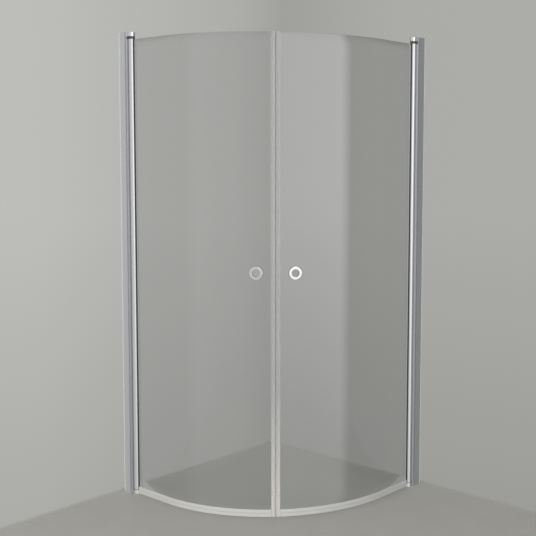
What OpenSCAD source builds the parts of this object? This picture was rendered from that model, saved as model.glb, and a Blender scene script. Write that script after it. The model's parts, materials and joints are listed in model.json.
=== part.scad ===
// Corner shower enclosure: two bent glass doors, each hinged on a profile at its wall, that meet in the middle.
// The left wall is the plane X = -side / 2, the right wall is the plane Y = side / 2, and the floor is Z = 0.
// Every piece is drawn for the left door. The right one is its mirror image about the diagonal.

/* [Enclosure] */
// Side of the square that the enclosure closes off, from a wall to the far face of a wall profile
side = 890; // [850:5:950]
// Height from the floor to the top of the profile caps
height = 1900; // [1700:10:2100]
// Radius of the bend, to the middle of the glass
bend_r = 620; // [560:5:640]
// Room between the sweep seals and the floor
floor_gap = 2; // [1:0.5:4]

/* [Wall profile] */
// Width over the two legs
profile_w = 43; // [40:1:50]
// Depth, out from the wall
profile_d = 40; // [34:1:46]
// Thickness of the web and the legs
profile_t = 1.8; // [1.4:0.1:2.4]
// Height of the raised bead on the outer leg
bead_h = 1; // [0.6:0.1:1.6]
// Width of the bead
bead_w = 5; // [3:0.5:12]
// Distance of the bead from the wall
bead_from_wall = 0.5; // [0:0.5:14]
// Screw holes in the web
wall_holes = 4; // [2:1:5]
// Distance of the outermost screw holes from the profile's ends
wall_hole_end = 150; // [80:5:200]
// Radius of a screw hole
wall_hole_r = 2.75; // [2.25:0.25:3.5]
// Thickness of the cap on top of the profile
cap_t = 2; // [1.5:0.5:4]
// Depth of the cap's plug in the channel
cap_plug = 12; // [6:1:20]

/* [Adjusting profile] */
// Distance from the wall to the back of the adjusting profile
adjust_back = 14; // [10:1:18]
// How far its front stands out of the wall profile
adjust_reach = 10; // [8:1:14]
// Thickness of its front rail
head_t = 6.5; // [5:0.5:8]
// Wall thickness
adjust_t = 1.6; // [1.2:0.1:2.2]
// Play at each side in the wall profile
slide_gap = 0.25; // [0.15:0.05:0.5]
// Radius of a screw port
port_r = 2.1; // [1.8:0.1:2.4]
// Distance of a screw port from the middle of the profile
port_side = 13; // [11:0.5:13.5]
// Locking screws that hold it in the wall profile
lock_screws = 3; // [2:1:4]
// Distance of the outermost locking screws from the wall profile's ends
lock_end = 210; // [120:5:300]
// Radius of a locking screw
lock_r = 1.75; // [1.5:0.25:2]
// Radius of a locking screw's head
lock_head_r = 3.5; // [3:0.25:4.5]
// Distance of the locking screws from the wall
lock_from_wall = 28; // [24:1:32]

/* [Hinge] */
// Outer radius of the hinge tube
tube_r = 13.5; // [12.5:0.5:15]
// Wall thickness of the tube
tube_t = 2.2; // [1.8:0.1:2.6]
// How deep the tube sits in the hollow front of the adjusting profile
tube_sink = 5.5; // [3:0.5:6]
// Running gap between the tube and that hollow
tube_gap = 0.8; // [0.5:0.1:1.5]
// Distance from the hinge axis to the floor of the glass pocket
pocket_floor = 6; // [5.5:0.5:7]
// Thickness of the pocket's walls
pocket_t = 1.5; // [1.2:0.1:2]
// Height of the hinge blocks
block_h = 16; // [14:1:24]
// Height of the dark collar between the top block and the tube
collar_h = 11; // [8:0.5:16]
// Height of the flange under the tube
flange_h = 2; // [1.5:0.5:4]
// Height of the room that lets a collar or a flange turn
thrust_gap = 0.3; // [0.2:0.1:0.6]
// Depth of the bushes in the tube
bush_depth = 20; // [12:1:40]
// Radius of the pivot pins
pin_r = 3; // [2.5:0.25:3.5]
// Running clearance of a pin, on the radius
pin_gap = 0.05; // [0.02:0.01:0.08]
// Radius of a pin's head
pin_head_r = 6; // [5:0.5:7]
// Thickness of a pin's head
pin_head_t = 3; // [2:0.5:4]

/* [Glass] */
// Thickness of the glass
glass_t = 6; // [5:1:8]
// Height of the glass's lower edge above the lower end of the tube
glass_lift = 1; // [0.5:0.5:3]
// Drop of the glass's upper edge below the upper end of the tube
glass_drop = 1; // [0:0.5:3]
// Thickness of the gasket beside the glass
gasket_t = 1.3; // [1:0.1:1.6]
// How far the gasket shows outside the tube
gasket_lip = 2.5; // [1.5:0.5:4]

/* [Seals] */
// Width of the seam seals along the glass
seam_w = 17; // [12:1:24]
// Gap between the two seam seals' noses
seam_gap = 0.9; // [0.8:0.1:1.4]
// Radius of a nose
nose_r = 1.6; // [1.2:0.1:1.8]
// Depth of the seam seal's web, between the nose and the glass
seam_web = 4; // [3.5:0.5:6]
// Play between the web and the edge of the glass
edge_play = 0.2; // [0.1:0.1:1]
// Thickness of a seal's legs beside the glass
leg_t = 1.4; // [1:0.1:1.6]
// Height of the sweep seal's legs
sweep_leg = 12; // [8:1:18]
// Thickness of the sweep seal's web
sweep_web = 1.2; // [1:0.1:2]
// Thickness of the sweep seal's fins
fin_t = 1.1; // [0.8:0.1:1.4]

/* [Grip rings] */
// Outer radius of a grip ring
grip_r = 27; // [24:0.5:32]
// Radius of the hole through the rings
grip_hole_r = 14.25; // [12:0.25:15.5]
// How far a ring stands out from its washer
grip_t = 7; // [5:0.5:10]
// Height of the rings above the floor
grip_z = 960; // [800:10:1100]
// Distance of the rings from the seam, along the glass
grip_from_seam = 75; // [60:1:110]
// Outer radius of the sleeve that joins the two rings
sleeve_r = 18; // [17:0.5:20]
// Radius of the hole in the glass
glass_hole_r = 18.6; // [18.5:0.1:21]
// Thickness of the washers at their thinnest
washer_t = 0.7; // [0.5:0.1:1.5]

/* [Hidden] */
$fn = 64;

half = side / 2;
cut = 1;

// Heights
cap_z = height - cap_t;
top_block_z = height - block_h;
tube_z0 = block_h + flange_h;
tube_z1 = top_block_z - collar_h;
glass_z0 = tube_z0 + glass_lift;
glass_z1 = tube_z1 - glass_drop;
sweep_z = glass_z0 - sweep_web;

// Across the wall profile, from its middle
slide_half = profile_w / 2 - profile_t - slide_gap;

// Out from the wall
adjust_front = profile_d + adjust_reach;
head_back = adjust_front - head_t;
axis_from_wall = adjust_front + tube_r - tube_sink;
recess_r = tube_r + tube_gap;
port_from_wall = adjust_back + adjust_t + port_r + 0.6;

// The hinge axis of the left door
axis_x = axis_from_wall - half;
axis_y = bead_h + profile_w / 2 - half;

// The bend's middle lies on the diagonal, and the straight run ends beside it
bend_x = -axis_y - bend_r;
bend_y = -bend_x;
straight_l = bend_x - axis_x;

// From the hinge axis along the glass
glass_start = pocket_floor + gasket_t;
gasket_end = tube_r + gasket_lip;
sweep_start = gasket_end + 0.5;
pocket_half = glass_t / 2 + gasket_t;

// From the seam along the glass
nose_back = seam_gap / 2 + nose_r;
web_back = nose_back + seam_web;
glass_end = web_back + edge_play;
seal_half = glass_t / 2 + leg_t;

// Out from the middle of the glass, with the bend's rise over a washer
washer_r = grip_r - 1;
washer_rise = washer_r * washer_r / (2 * (bend_r - glass_t / 2));
outer_seat = glass_t / 2 + washer_t;
inner_seat = glass_t / 2 + washer_t + washer_rise;
thread_depth = 4;

aluminium = [0.72, 0.73, 0.74];
polished = [0.86, 0.87, 0.88];
steel = [0.62, 0.63, 0.65];
black = [0.12, 0.12, 0.12];
tinted = [0.55, 0.58, 0.57, 0.4];
clear_seal = [0.85, 0.87, 0.86, 0.7];

// Heights of so many holes, spread evenly between the wall profile's ends
function spread(count, from_end) = [
    for (i = [0 : count - 1]) from_end + i * (cap_z - 2 * from_end) / (count - 1)
];

// Angle of a length along the bend
function bend_angle(length) = length / bend_r * 180 / PI;

// Turns a left piece into its right twin
module other_side() {
    mirror([1, 1, 0]) children();
}

// Stands on the wall profile's middle line, with X out from the wall and Y towards the inside of the shower
module at_profile() {
    translate([-half, axis_y, 0]) children();
}

// Stands on the hinge axis, with X along the glass
module at_hinge() {
    translate([axis_x, axis_y, 0]) children();
}

// Stands on the glass at a distance from the seam, with X out of the shower and Y towards the seam
module on_bend(from_seam) {
    translate([bend_x, bend_y, 0])
        rotate([0, 0, -45 - bend_angle(from_seam)])
            translate([bend_r, 0, 0])
                children();
}

// Sweeps a section along the bend between two distances from the seam. X is out from the middle of the glass.
module along_bend(far, near) {
    translate([bend_x, bend_y, 0])
        rotate([0, 0, -45 - bend_angle(far)])
            rotate_extrude(angle = bend_angle(far - near), $fn = 256)
                translate([bend_r, 0])
                    children();
}

// Sweeps a section along the straight run from the hinge side and then round the bend
module along_door(start, near) {
    translate([axis_x + start, axis_y, 0])
        rotate([90, 0, 90])
            linear_extrude(straight_l - start)
                mirror([1, 0])
                    children();
    along_bend(bend_r * PI / 4, near) children();
}

// A slab of one side of the glass: from a to b out from its middle, between two heights
module slab(a, b, low, high) {
    translate([a, low]) square([b - a, high - low]);
}

// Wall profile: a channel with a bead on its outer leg
module wall_section() {
    difference() {
        translate([0, -profile_w / 2]) square([profile_d, profile_w]);
        translate([profile_t, profile_t - profile_w / 2])
            square([profile_d, profile_w - 2 * profile_t]);
    }
    translate([bead_from_wall + bead_h, -profile_w / 2 - bead_h])
        square([bead_w - 2 * bead_h, bead_h + profile_t / 2]);
    for (x = [bead_h, bead_w - bead_h])
        translate([bead_from_wall + x, -profile_w / 2]) circle(bead_h);
}

module wall_profile() {
    color(aluminium) at_profile() difference() {
        linear_extrude(cap_z) wall_section();
        for (z = spread(wall_holes, wall_hole_end))
            translate([-cut, 0, z])
                rotate([0, 90, 0]) cylinder(r = wall_hole_r, h = profile_t + 2 * cut);
        for (z = spread(lock_screws, lock_end))
            translate([lock_from_wall, profile_w / 2 - profile_t - cut, z])
                rotate([-90, 0, 0]) cylinder(r = lock_r + 0.3, h = profile_t + 2 * cut);
    }
}

module profile_cap() {
    plug_half = slide_half;
    color(polished) at_profile() {
        translate([0, 0, cap_z]) linear_extrude(cap_t) {
            translate([0, -profile_w / 2]) square([profile_d, profile_w]);
            translate([bead_from_wall, -profile_w / 2 - bead_h]) square([bead_w, 2 * bead_h]);
        }
        translate([profile_t + slide_gap, -plug_half, cap_z - cap_plug])
            cube([adjust_back - profile_t - 2 * slide_gap, 2 * plug_half, cap_plug]);
    }
}

// Outline shared by the adjusting profile and the hinge blocks: the body in the channel and the wide front rail
module adjust_outline() {
    translate([adjust_back, -slide_half]) square([head_back - adjust_back + head_t / 2, 2 * slide_half]);
    translate([head_back, 1 - profile_w / 2]) square([head_t, profile_w - 2]);
    translate([head_back + 1, -profile_w / 2]) square([head_t - 2, profile_w]);
    for (x = [head_back + 1, adjust_front - 1], y = [-1, 1])
        translate([x, y * (profile_w / 2 - 1)]) circle(1);
}

// Adjusting profile: a box with two screw ports, and a hollow front that the hinge tube turns in
module adjust_section() {
    hollow_front = axis_from_wall - recess_r - adjust_t;
    difference() {
        adjust_outline();
        translate([axis_from_wall, 0]) circle(recess_r);
        translate([adjust_back + adjust_t, adjust_t - slide_half])
            square([hollow_front - adjust_back - adjust_t, 2 * (slide_half - adjust_t)]);
    }
    for (y = [-port_side, port_side]) translate([port_from_wall, y]) difference() {
        union() {
            circle(port_r + adjust_t);
            translate([adjust_back - port_from_wall + adjust_t / 2, -adjust_t])
                square([port_from_wall - adjust_back - adjust_t / 2, 2 * adjust_t]);
        }
        circle(port_r);
    }
}

module adjusting_profile() {
    color(aluminium) at_profile() difference() {
        translate([0, 0, block_h]) linear_extrude(top_block_z - block_h) adjust_section();
        for (z = spread(lock_screws, lock_end))
            translate([lock_from_wall, slide_half - adjust_t - cut, z])
                rotate([-90, 0, 0]) cylinder(r = lock_r, h = adjust_t + 2 * cut);
    }
}

// Locking screws: driven from inside the shower through both profiles
module locking_screws() {
    color(steel) at_profile() for (z = spread(lock_screws, lock_end))
        translate([lock_from_wall, profile_w / 2, z]) rotate([90, 0, 0]) {
            cylinder(r = lock_r - 0.05, h = profile_t + slide_gap + adjust_t + 5);
            difference() {
                intersection() {
                    translate([0, 0, lock_head_r - 2.2]) sphere(lock_head_r + 0.6);
                    translate([0, 0, -2.2]) cylinder(r = lock_head_r, h = 2.2);
                }
                for (a = [0, 90]) rotate([0, 0, a]) translate([-2, -0.4, -3]) cube([4, 0.8, 2]);
            }
        }
}

// Plan of a hinge block: it ends the adjusting profile and reaches out over the tube
module block_outline() {
    adjust_outline();
    translate([axis_from_wall, 0]) circle(tube_r);
    translate([head_back + head_t / 2, -tube_r]) square([axis_from_wall - head_back - head_t / 2, 2 * tube_r]);
}

module screw_sinks(length) {
    for (y = [-port_side, port_side]) translate([port_from_wall, y, 0]) {
        cylinder(r = port_r + 0.15, h = length + cut);
        translate([0, 0, -0.01]) cylinder(r1 = 2 * port_r, r2 = port_r, h = port_r);
    }
}

// A hinge block stands on its outer end: the pin's head and the screws' heads are sunk there
module hinge_block(tail_drop) {
    difference() {
        linear_extrude(block_h) block_outline();
        translate([axis_from_wall, 0, -cut]) cylinder(r = pin_r + pin_gap, h = block_h + 2 * cut);
        translate([axis_from_wall, 0, -cut]) cylinder(r = pin_head_r + pin_gap, h = pin_head_t + cut);
        if (tail_drop > 0)
            translate([0, -profile_w, -cut]) cube([profile_d + slide_gap, 2 * profile_w, tail_drop + cut]);
        translate([0, 0, tail_drop]) screw_sinks(block_h - tail_drop);
    }
}

module top_hinge_block() {
    color(polished) at_profile() translate([0, 0, height]) mirror([0, 0, 1]) hinge_block(cap_t);
}

module bottom_hinge_block() {
    color(polished) at_profile() hinge_block(0);
}

// Two countersunk screws hold each block on the profile's ports
module block_screw_pair(length) {
    for (y = [-port_side, port_side]) translate([port_from_wall, y, 0]) {
        cylinder(r = port_r - 0.05, h = length);
        difference() {
            cylinder(r1 = 2 * port_r - 0.1, r2 = port_r - 0.05, h = port_r);
            for (a = [0, 90]) rotate([0, 0, a]) translate([-2, -0.4, -cut]) cube([4, 0.8, cut + 1]);
        }
    }
}

module block_screws() {
    color(steel) at_profile() {
        block_screw_pair(block_h + 14);
        translate([0, 0, cap_z]) mirror([0, 0, 1]) block_screw_pair(block_h - cap_t + 14);
    }
}

// A pivot pin stands on its head
module pivot_pin(length) {
    cylinder(r = pin_head_r, h = pin_head_t);
    cylinder(r = pin_r, h = length - 1);
    translate([0, 0, length - 1]) cylinder(r1 = pin_r, r2 = pin_r - 0.8, h = 1);
}

module top_pivot_pin() {
    color(steel) at_hinge() translate([0, 0, height]) mirror([0, 0, 1])
        pivot_pin(block_h + collar_h + bush_depth);
}

module bottom_pivot_pin() {
    color(steel) at_hinge() pivot_pin(tube_z0 + bush_depth);
}

// Hinge tube: a round profile with a pocket for the glass
module tube_section() {
    difference() {
        union() {
            difference() {
                circle(tube_r);
                circle(tube_r - tube_t);
            }
            intersection() {
                circle(tube_r - tube_t / 2);
                translate([pocket_floor - pocket_t, -pocket_half - pocket_t])
                    square([tube_r, 2 * (pocket_half + pocket_t)]);
            }
        }
        translate([pocket_floor, -pocket_half]) square([tube_r, 2 * pocket_half]);
    }
}

module hinge_tube() {
    color(polished) at_hinge() translate([0, 0, tube_z0])
        linear_extrude(tube_z1 - tube_z0, convexity = 4) tube_section();
}

// A bush fills the round part of the tube beside the pocket, and its rim shows outside the tube
module bush(rim_h) {
    pocket_side = pocket_half + pocket_t + 0.1;
    difference() {
        union() {
            cylinder(r = tube_r - 0.5, h = rim_h);
            difference() {
                cylinder(r = tube_r - tube_t - 0.1, h = rim_h + bush_depth);
                translate([pocket_floor - pocket_t - 0.1, -pocket_side, rim_h])
                    cube([tube_r, 2 * pocket_side, bush_depth + cut]);
            }
        }
        translate([0, 0, -cut]) cylinder(r = pin_r + pin_gap, h = rim_h + bush_depth + 2 * cut);
    }
}

module top_bush() {
    rim_h = collar_h - thrust_gap;
    color(black) at_hinge() translate([0, 0, tube_z1 + rim_h]) mirror([0, 0, 1]) bush(rim_h);
}

module bottom_bush() {
    color(black) at_hinge() translate([0, 0, block_h + thrust_gap]) bush(flange_h - thrust_gap);
}

// Gasket: a channel round the glass's edge, with a lip that covers the mouth of the pocket
module gasket_section() {
    difference() {
        union() {
            translate([pocket_floor, -pocket_half]) square([gasket_end - pocket_floor, 2 * pocket_half]);
            difference() {
                translate([tube_r - 2, -pocket_half - 0.9]) square([gasket_lip + 2, 2 * (pocket_half + 0.9)]);
                circle(tube_r);
            }
        }
        translate([glass_start, -glass_t / 2]) square([gasket_end, glass_t]);
    }
}

module glass_gasket() {
    color(black) at_hinge() translate([0, 0, glass_z0])
        linear_extrude(glass_z1 - glass_z0, convexity = 4) gasket_section();
}

// Door glass: straight from the hinge, then bent to the seam, with a round hole for the grip rings
module glass() {
    color(tinted) difference() {
        along_door(glass_start, glass_end) slab(-glass_t / 2, glass_t / 2, glass_z0, glass_z1);
        at_grip() translate([0, 0, -glass_t]) cylinder(r = glass_hole_r, h = 2 * glass_t);
    }
}

// Seam seal: two legs on the glass, a web with a pocket for the magnet, and a round nose
module seam_head() {
    difference() {
        union() {
            polygon([
                [-seal_half, -web_back], [seal_half, -web_back], [seal_half, -web_back + 0.6],
                [nose_r + 0.8, -nose_back], [-nose_r - 0.8, -nose_back], [-seal_half, -web_back + 0.6]
            ]);
            translate([0, -nose_back]) circle(nose_r);
        }
        magnet_section(0);
    }
}

// Magnet: a flat strip behind the nose
module magnet_section(play) {
    magnet_w = 2 * nose_r + 0.6;
    magnet_t = seam_web / 2;
    translate([play - magnet_w / 2, play - nose_back - magnet_t - 0.4])
        square([magnet_w - 2 * play, magnet_t - 2 * play]);
}

module seam_seal() {
    color(clear_seal) {
        on_bend(0) translate([0, 0, floor_gap])
            linear_extrude(glass_z1 - floor_gap, convexity = 4) seam_head();
        for (a = [-seal_half, glass_t / 2])
            along_bend(seam_w, web_back - 0.3) slab(a, a + leg_t, floor_gap, glass_z1);
    }
}

module seam_magnet() {
    color(black) on_bend(0) translate([0, 0, floor_gap])
        linear_extrude(glass_z1 - floor_gap) magnet_section(0.05);
}

// Sweep seal: a channel on the glass's lower edge, with a long fin outside and a short one inside
module sweep_section() {
    fin_drop = sweep_z - floor_gap;
    slab(-seal_half, seal_half, sweep_z, glass_z0);
    slab(glass_t / 2, seal_half, sweep_z, glass_z0 + sweep_leg);
    slab(-seal_half, -glass_t / 2, sweep_z, glass_z0 + sweep_leg);
    polygon([
        [seal_half - fin_t, sweep_z + 0.1], [seal_half, sweep_z + 0.1],
        [seal_half + 0.5, sweep_z - 0.6 * fin_drop], [seal_half + 0.2, floor_gap],
        [seal_half + 0.2 - fin_t, floor_gap], [seal_half + 0.5 - fin_t, sweep_z - 0.6 * fin_drop]
    ]);
    polygon([
        [-2 * fin_t, sweep_z + 0.1], [-fin_t, sweep_z + 0.1],
        [-fin_t - 0.6, sweep_z - 0.7 * fin_drop], [-2 * fin_t - 0.2, sweep_z - 0.7 * fin_drop]
    ]);
}

module sweep_seal() {
    color(clear_seal) along_door(sweep_start, seam_w + 0.2) sweep_section();
}

// Stands at the middle of the grip, with Z out of the shower
module at_grip() {
    on_bend(grip_from_seam) translate([0, 0, grip_z]) rotate([0, 90, 0]) children();
}

// Section of a ring from its seat outwards, with a broad round outer edge and a small inner one
module ring_section() {
    outer_edge = 3.5;
    inner_edge = 1.5;
    translate([grip_hole_r, 0]) square([grip_r - grip_hole_r, grip_t - outer_edge]);
    translate([grip_hole_r, 0]) square([inner_edge, grip_t - inner_edge]);
    translate([grip_hole_r + inner_edge, 0])
        square([grip_r - outer_edge - grip_hole_r - inner_edge, grip_t]);
    translate([grip_r - outer_edge, grip_t - outer_edge]) circle(outer_edge);
    translate([grip_hole_r + inner_edge, grip_t - inner_edge]) circle(inner_edge);
}

module grip_outer_ring() {
    color(polished) at_grip() translate([0, 0, outer_seat]) difference() {
        rotate_extrude() ring_section();
        translate([0, 0, -cut]) cylinder(r = sleeve_r + 0.05, h = thread_depth + cut);
    }
}

// The inner ring's sleeve goes through the glass and screws into the outer ring
module grip_inner_ring() {
    sleeve_l = inner_seat + outer_seat + thread_depth - 0.2;
    color(polished) at_grip() {
        translate([0, 0, -inner_seat]) mirror([0, 0, 1]) rotate_extrude() ring_section();
        translate([0, 0, -inner_seat - 0.1]) difference() {
            cylinder(r = sleeve_r, h = sleeve_l + 0.1);
            translate([0, 0, -cut]) cylinder(r = grip_hole_r, h = sleeve_l + 2 * cut);
        }
    }
}

// The washers are flat on the ring and follow the bend on the glass
module washer_blank(low, high) {
    translate([0, 0, low]) difference() {
        cylinder(r = washer_r, h = high - low);
        translate([0, 0, -cut]) cylinder(r = glass_hole_r, h = high - low + 2 * cut);
    }
}

module bend_drum(r) {
    translate([bend_x, bend_y, grip_z - 2 * grip_r]) cylinder(r = r, h = 4 * grip_r, $fn = 256);
}

module grip_washers() {
    color(clear_seal) {
        difference() {
            at_grip() washer_blank(0, outer_seat);
            bend_drum(bend_r + glass_t / 2);
        }
        intersection() {
            at_grip() washer_blank(-inner_seat, 0);
            bend_drum(bend_r - glass_t / 2);
        }
    }
}

module left_wall_profile() wall_profile();
module left_profile_cap() profile_cap();
module left_adjusting_profile() adjusting_profile();
module left_locking_screws() locking_screws();
module left_top_hinge_block() top_hinge_block();
module left_bottom_hinge_block() bottom_hinge_block();
module left_block_screws() block_screws();
module left_top_pivot_pin() top_pivot_pin();
module left_bottom_pivot_pin() bottom_pivot_pin();
module left_hinge_tube() hinge_tube();
module left_top_bush() top_bush();
module left_bottom_bush() bottom_bush();
module left_glass_gasket() glass_gasket();
module left_glass() glass();
module left_seam_seal() seam_seal();
module left_seam_magnet() seam_magnet();
module left_sweep_seal() sweep_seal();
module left_grip_outer_ring() grip_outer_ring();
module left_grip_inner_ring() grip_inner_ring();
module left_grip_washers() grip_washers();

module right_wall_profile() other_side() wall_profile();
module right_profile_cap() other_side() profile_cap();
module right_adjusting_profile() other_side() adjusting_profile();
module right_locking_screws() other_side() locking_screws();
module right_top_hinge_block() other_side() top_hinge_block();
module right_bottom_hinge_block() other_side() bottom_hinge_block();
module right_block_screws() other_side() block_screws();
module right_top_pivot_pin() other_side() top_pivot_pin();
module right_bottom_pivot_pin() other_side() bottom_pivot_pin();
module right_hinge_tube() other_side() hinge_tube();
module right_top_bush() other_side() top_bush();
module right_bottom_bush() other_side() bottom_bush();
module right_glass_gasket() other_side() glass_gasket();
module right_glass() other_side() glass();
module right_seam_seal() other_side() seam_seal();
module right_seam_magnet() other_side() seam_magnet();
module right_sweep_seal() other_side() sweep_seal();
module right_grip_outer_ring() other_side() grip_outer_ring();
module right_grip_inner_ring() other_side() grip_inner_ring();
module right_grip_washers() other_side() grip_washers();

left_wall_profile();
left_profile_cap();
left_adjusting_profile();
left_locking_screws();
left_top_hinge_block();
left_bottom_hinge_block();
left_block_screws();
left_top_pivot_pin();
left_bottom_pivot_pin();
left_hinge_tube();
left_top_bush();
left_bottom_bush();
left_glass_gasket();
left_glass();
left_seam_seal();
left_seam_magnet();
left_sweep_seal();
left_grip_outer_ring();
left_grip_inner_ring();
left_grip_washers();
right_wall_profile();
right_profile_cap();
right_adjusting_profile();
right_locking_screws();
right_top_hinge_block();
right_bottom_hinge_block();
right_block_screws();
right_top_pivot_pin();
right_bottom_pivot_pin();
right_hinge_tube();
right_top_bush();
right_bottom_bush();
right_glass_gasket();
right_glass();
right_seam_seal();
right_seam_magnet();
right_sweep_seal();
right_grip_outer_ring();
right_grip_inner_ring();
right_grip_washers();
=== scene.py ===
# %% [markdown]
# # A corner shower enclosure with two bent glass doors
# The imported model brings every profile, hinge block, pin, bush and screw at its true size. This notebook
# keeps those pieces as they are and gives them their finishes. The pieces whose looks depend on soft edges
# or on a fine surface are made again here, in the same place: the bent glass, the plastic seals and the two
# pairs of grip rings.

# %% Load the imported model
import json
import math

import bmesh
import bpy
import numpy as np
from mathutils import Matrix, Vector

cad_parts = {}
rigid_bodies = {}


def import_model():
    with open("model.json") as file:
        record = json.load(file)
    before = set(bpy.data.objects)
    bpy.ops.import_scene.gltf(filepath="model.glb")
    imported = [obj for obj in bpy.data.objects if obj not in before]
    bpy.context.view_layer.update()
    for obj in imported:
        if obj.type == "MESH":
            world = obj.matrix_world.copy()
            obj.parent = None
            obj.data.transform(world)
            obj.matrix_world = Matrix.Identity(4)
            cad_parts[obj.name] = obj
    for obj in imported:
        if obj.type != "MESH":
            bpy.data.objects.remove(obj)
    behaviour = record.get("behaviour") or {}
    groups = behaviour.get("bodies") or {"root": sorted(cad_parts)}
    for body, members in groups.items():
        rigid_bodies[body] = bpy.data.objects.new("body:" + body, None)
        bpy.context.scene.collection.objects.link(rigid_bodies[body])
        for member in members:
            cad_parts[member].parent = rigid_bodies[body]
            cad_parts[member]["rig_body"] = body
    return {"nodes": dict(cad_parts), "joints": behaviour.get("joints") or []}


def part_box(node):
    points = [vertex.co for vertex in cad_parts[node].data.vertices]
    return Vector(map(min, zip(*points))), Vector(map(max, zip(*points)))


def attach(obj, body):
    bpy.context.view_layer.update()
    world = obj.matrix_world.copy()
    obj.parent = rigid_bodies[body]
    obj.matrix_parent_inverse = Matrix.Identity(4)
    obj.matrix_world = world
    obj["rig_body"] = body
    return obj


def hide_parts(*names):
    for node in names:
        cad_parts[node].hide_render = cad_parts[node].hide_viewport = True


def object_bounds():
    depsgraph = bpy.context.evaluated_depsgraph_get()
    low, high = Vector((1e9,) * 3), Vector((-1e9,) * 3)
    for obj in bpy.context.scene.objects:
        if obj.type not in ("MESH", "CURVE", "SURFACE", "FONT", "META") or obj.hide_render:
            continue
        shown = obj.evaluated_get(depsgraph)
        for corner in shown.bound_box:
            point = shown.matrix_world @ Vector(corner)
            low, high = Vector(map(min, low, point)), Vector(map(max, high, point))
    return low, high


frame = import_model()
cad_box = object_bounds()
nodes = frame["nodes"]
WALL = cad_box[1][0]

# %% [markdown]
# ## The camera
# The enclosure was photographed from about 3.6 m away, a little above its middle, with a lens that was
# shifted sideways and up. A shifted lens keeps tall uprights parallel, as in pictures of buildings. The
# same shift goes on Blender's camera, because turning the camera instead would make the uprights lean.

# %% Camera
FRAME_PX = 536
FOCAL_PX = 944.9
SHIFT_PX = (-78.0, -29.6)
SENSOR = 36
CAMERA_PLACE = (2.7456, -2.8322, 1.3958)
TURN, TILT, ROLL = 0.6939, -0.0833, 0.0061

camera_data = bpy.data.cameras.new("camera")
camera_data.sensor_width = SENSOR
camera_data.lens = FOCAL_PX / FRAME_PX * SENSOR
camera_data.shift_x = SHIFT_PX[0] / FRAME_PX
camera_data.shift_y = SHIFT_PX[1] / FRAME_PX
camera = bpy.data.objects.new("camera", camera_data)
camera.matrix_world = (
    Matrix.Translation(CAMERA_PLACE)
    @ Matrix.Rotation(TURN, 4, "Z")
    @ Matrix.Rotation(math.pi / 2 + TILT, 4, "X")
    @ Matrix.Rotation(ROLL, 4, "Z")
)
bpy.context.scene.collection.objects.link(camera)
bpy.context.scene.camera = camera
print("lens", round(camera_data.lens, 1), "mm")

# %% [markdown]
# ## Small helpers for nodes
# The room and every finish are trees of nodes. The same few nodes come back all the time, so each gets a
# helper: a sum, a place and its parts, a step from one value to another, and a mix of two colours or
# numbers. An input socket takes either another node's output or a plain value, and feed does whichever
# fits.

# %% Node helpers
def feed(tree, socket, value):
    """Links an output to an input socket, or sets a number, a colour or a vector on it."""
    if isinstance(value, bpy.types.NodeSocket):
        tree.links.new(value, socket)
    elif socket.type == "RGBA":
        socket.default_value = (*value, 1)
    else:
        socket.default_value = value


def set_sockets(tree, node, **values):
    """Feeds a node's sockets, which go by their names with _ for a space, and gives the node back."""
    for name, value in values.items():
        feed(tree, node.inputs[name.replace("_", " ")], value)
    return node


def calculate(tree, operation, *values):
    """A Math node on outputs or numbers."""
    node = tree.nodes.new("ShaderNodeMath")
    node.operation = operation
    for socket, value in zip(node.inputs, values):
        feed(tree, socket, value)
    return node.outputs["Value"]


def measure(tree, operation, first, second=(0, 0, 0)):
    """A Vector Math node that gives a number: a length, a distance or a dot product."""
    node = tree.nodes.new("ShaderNodeVectorMath")
    node.operation = operation
    feed(tree, node.inputs[0], first)
    feed(tree, node.inputs[1], second)
    return node.outputs["Value"]


def place(tree, kind="Object"):
    """Where a point of the surface lies, in metres. In the world, Generated is the direction of a ray."""
    return tree.nodes.new("ShaderNodeTexCoord").outputs[kind]


def parts(tree, vector):
    """The X, Y and Z of a vector."""
    return set_sockets(tree, tree.nodes.new("ShaderNodeSeparateXYZ"), Vector=vector).outputs


def step(tree, value, start, end, low=0, high=1, rise="LINEAR"):
    """Low up to the start value, high from the end value on, and a rise between the two."""
    node = tree.nodes.new("ShaderNodeMapRange")
    node.interpolation_type = rise
    set_sockets(tree, node, Value=value, From_Min=start, From_Max=end, To_Min=low, To_Max=high)
    return node.outputs["Result"]


def mix(tree, factor, first, second, data="RGBA", way="MIX"):
    """A colour between two, by a factor, or a number where data is FLOAT."""
    node = tree.nodes.new("ShaderNodeMix")
    node.data_type = data
    node.blend_type = way
    set_sockets(tree, node, Factor=factor, A=first, B=second)
    return node.outputs["Result"]


print("node helpers ready")

# %% [markdown]
# ## The studio
# Glass, chrome and polished aluminium have almost no colour of their own: they show the room. So the room
# comes first. It is a ring of greys round the horizon, written as a colour ramp over the azimuth: 0 degrees
# is +X and 90 is +Y. Its bright stretch becomes the broad pale band on the right door's bend and the
# highlights on the hinge tubes. Near the floor that stretch is less bright, or its mirror image would wash
# out the lower ends of the doors.
#
# The camera, and what it sees through the glass, gets a plainer ring instead: a pale backdrop, a shade
# darker on the right, with a dip where the corner of the room would be. Straight up and straight down all
# azimuths meet in one point, so steep rays get one plain grey. Both rings get a little darker towards the
# floor, as a room does.

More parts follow.
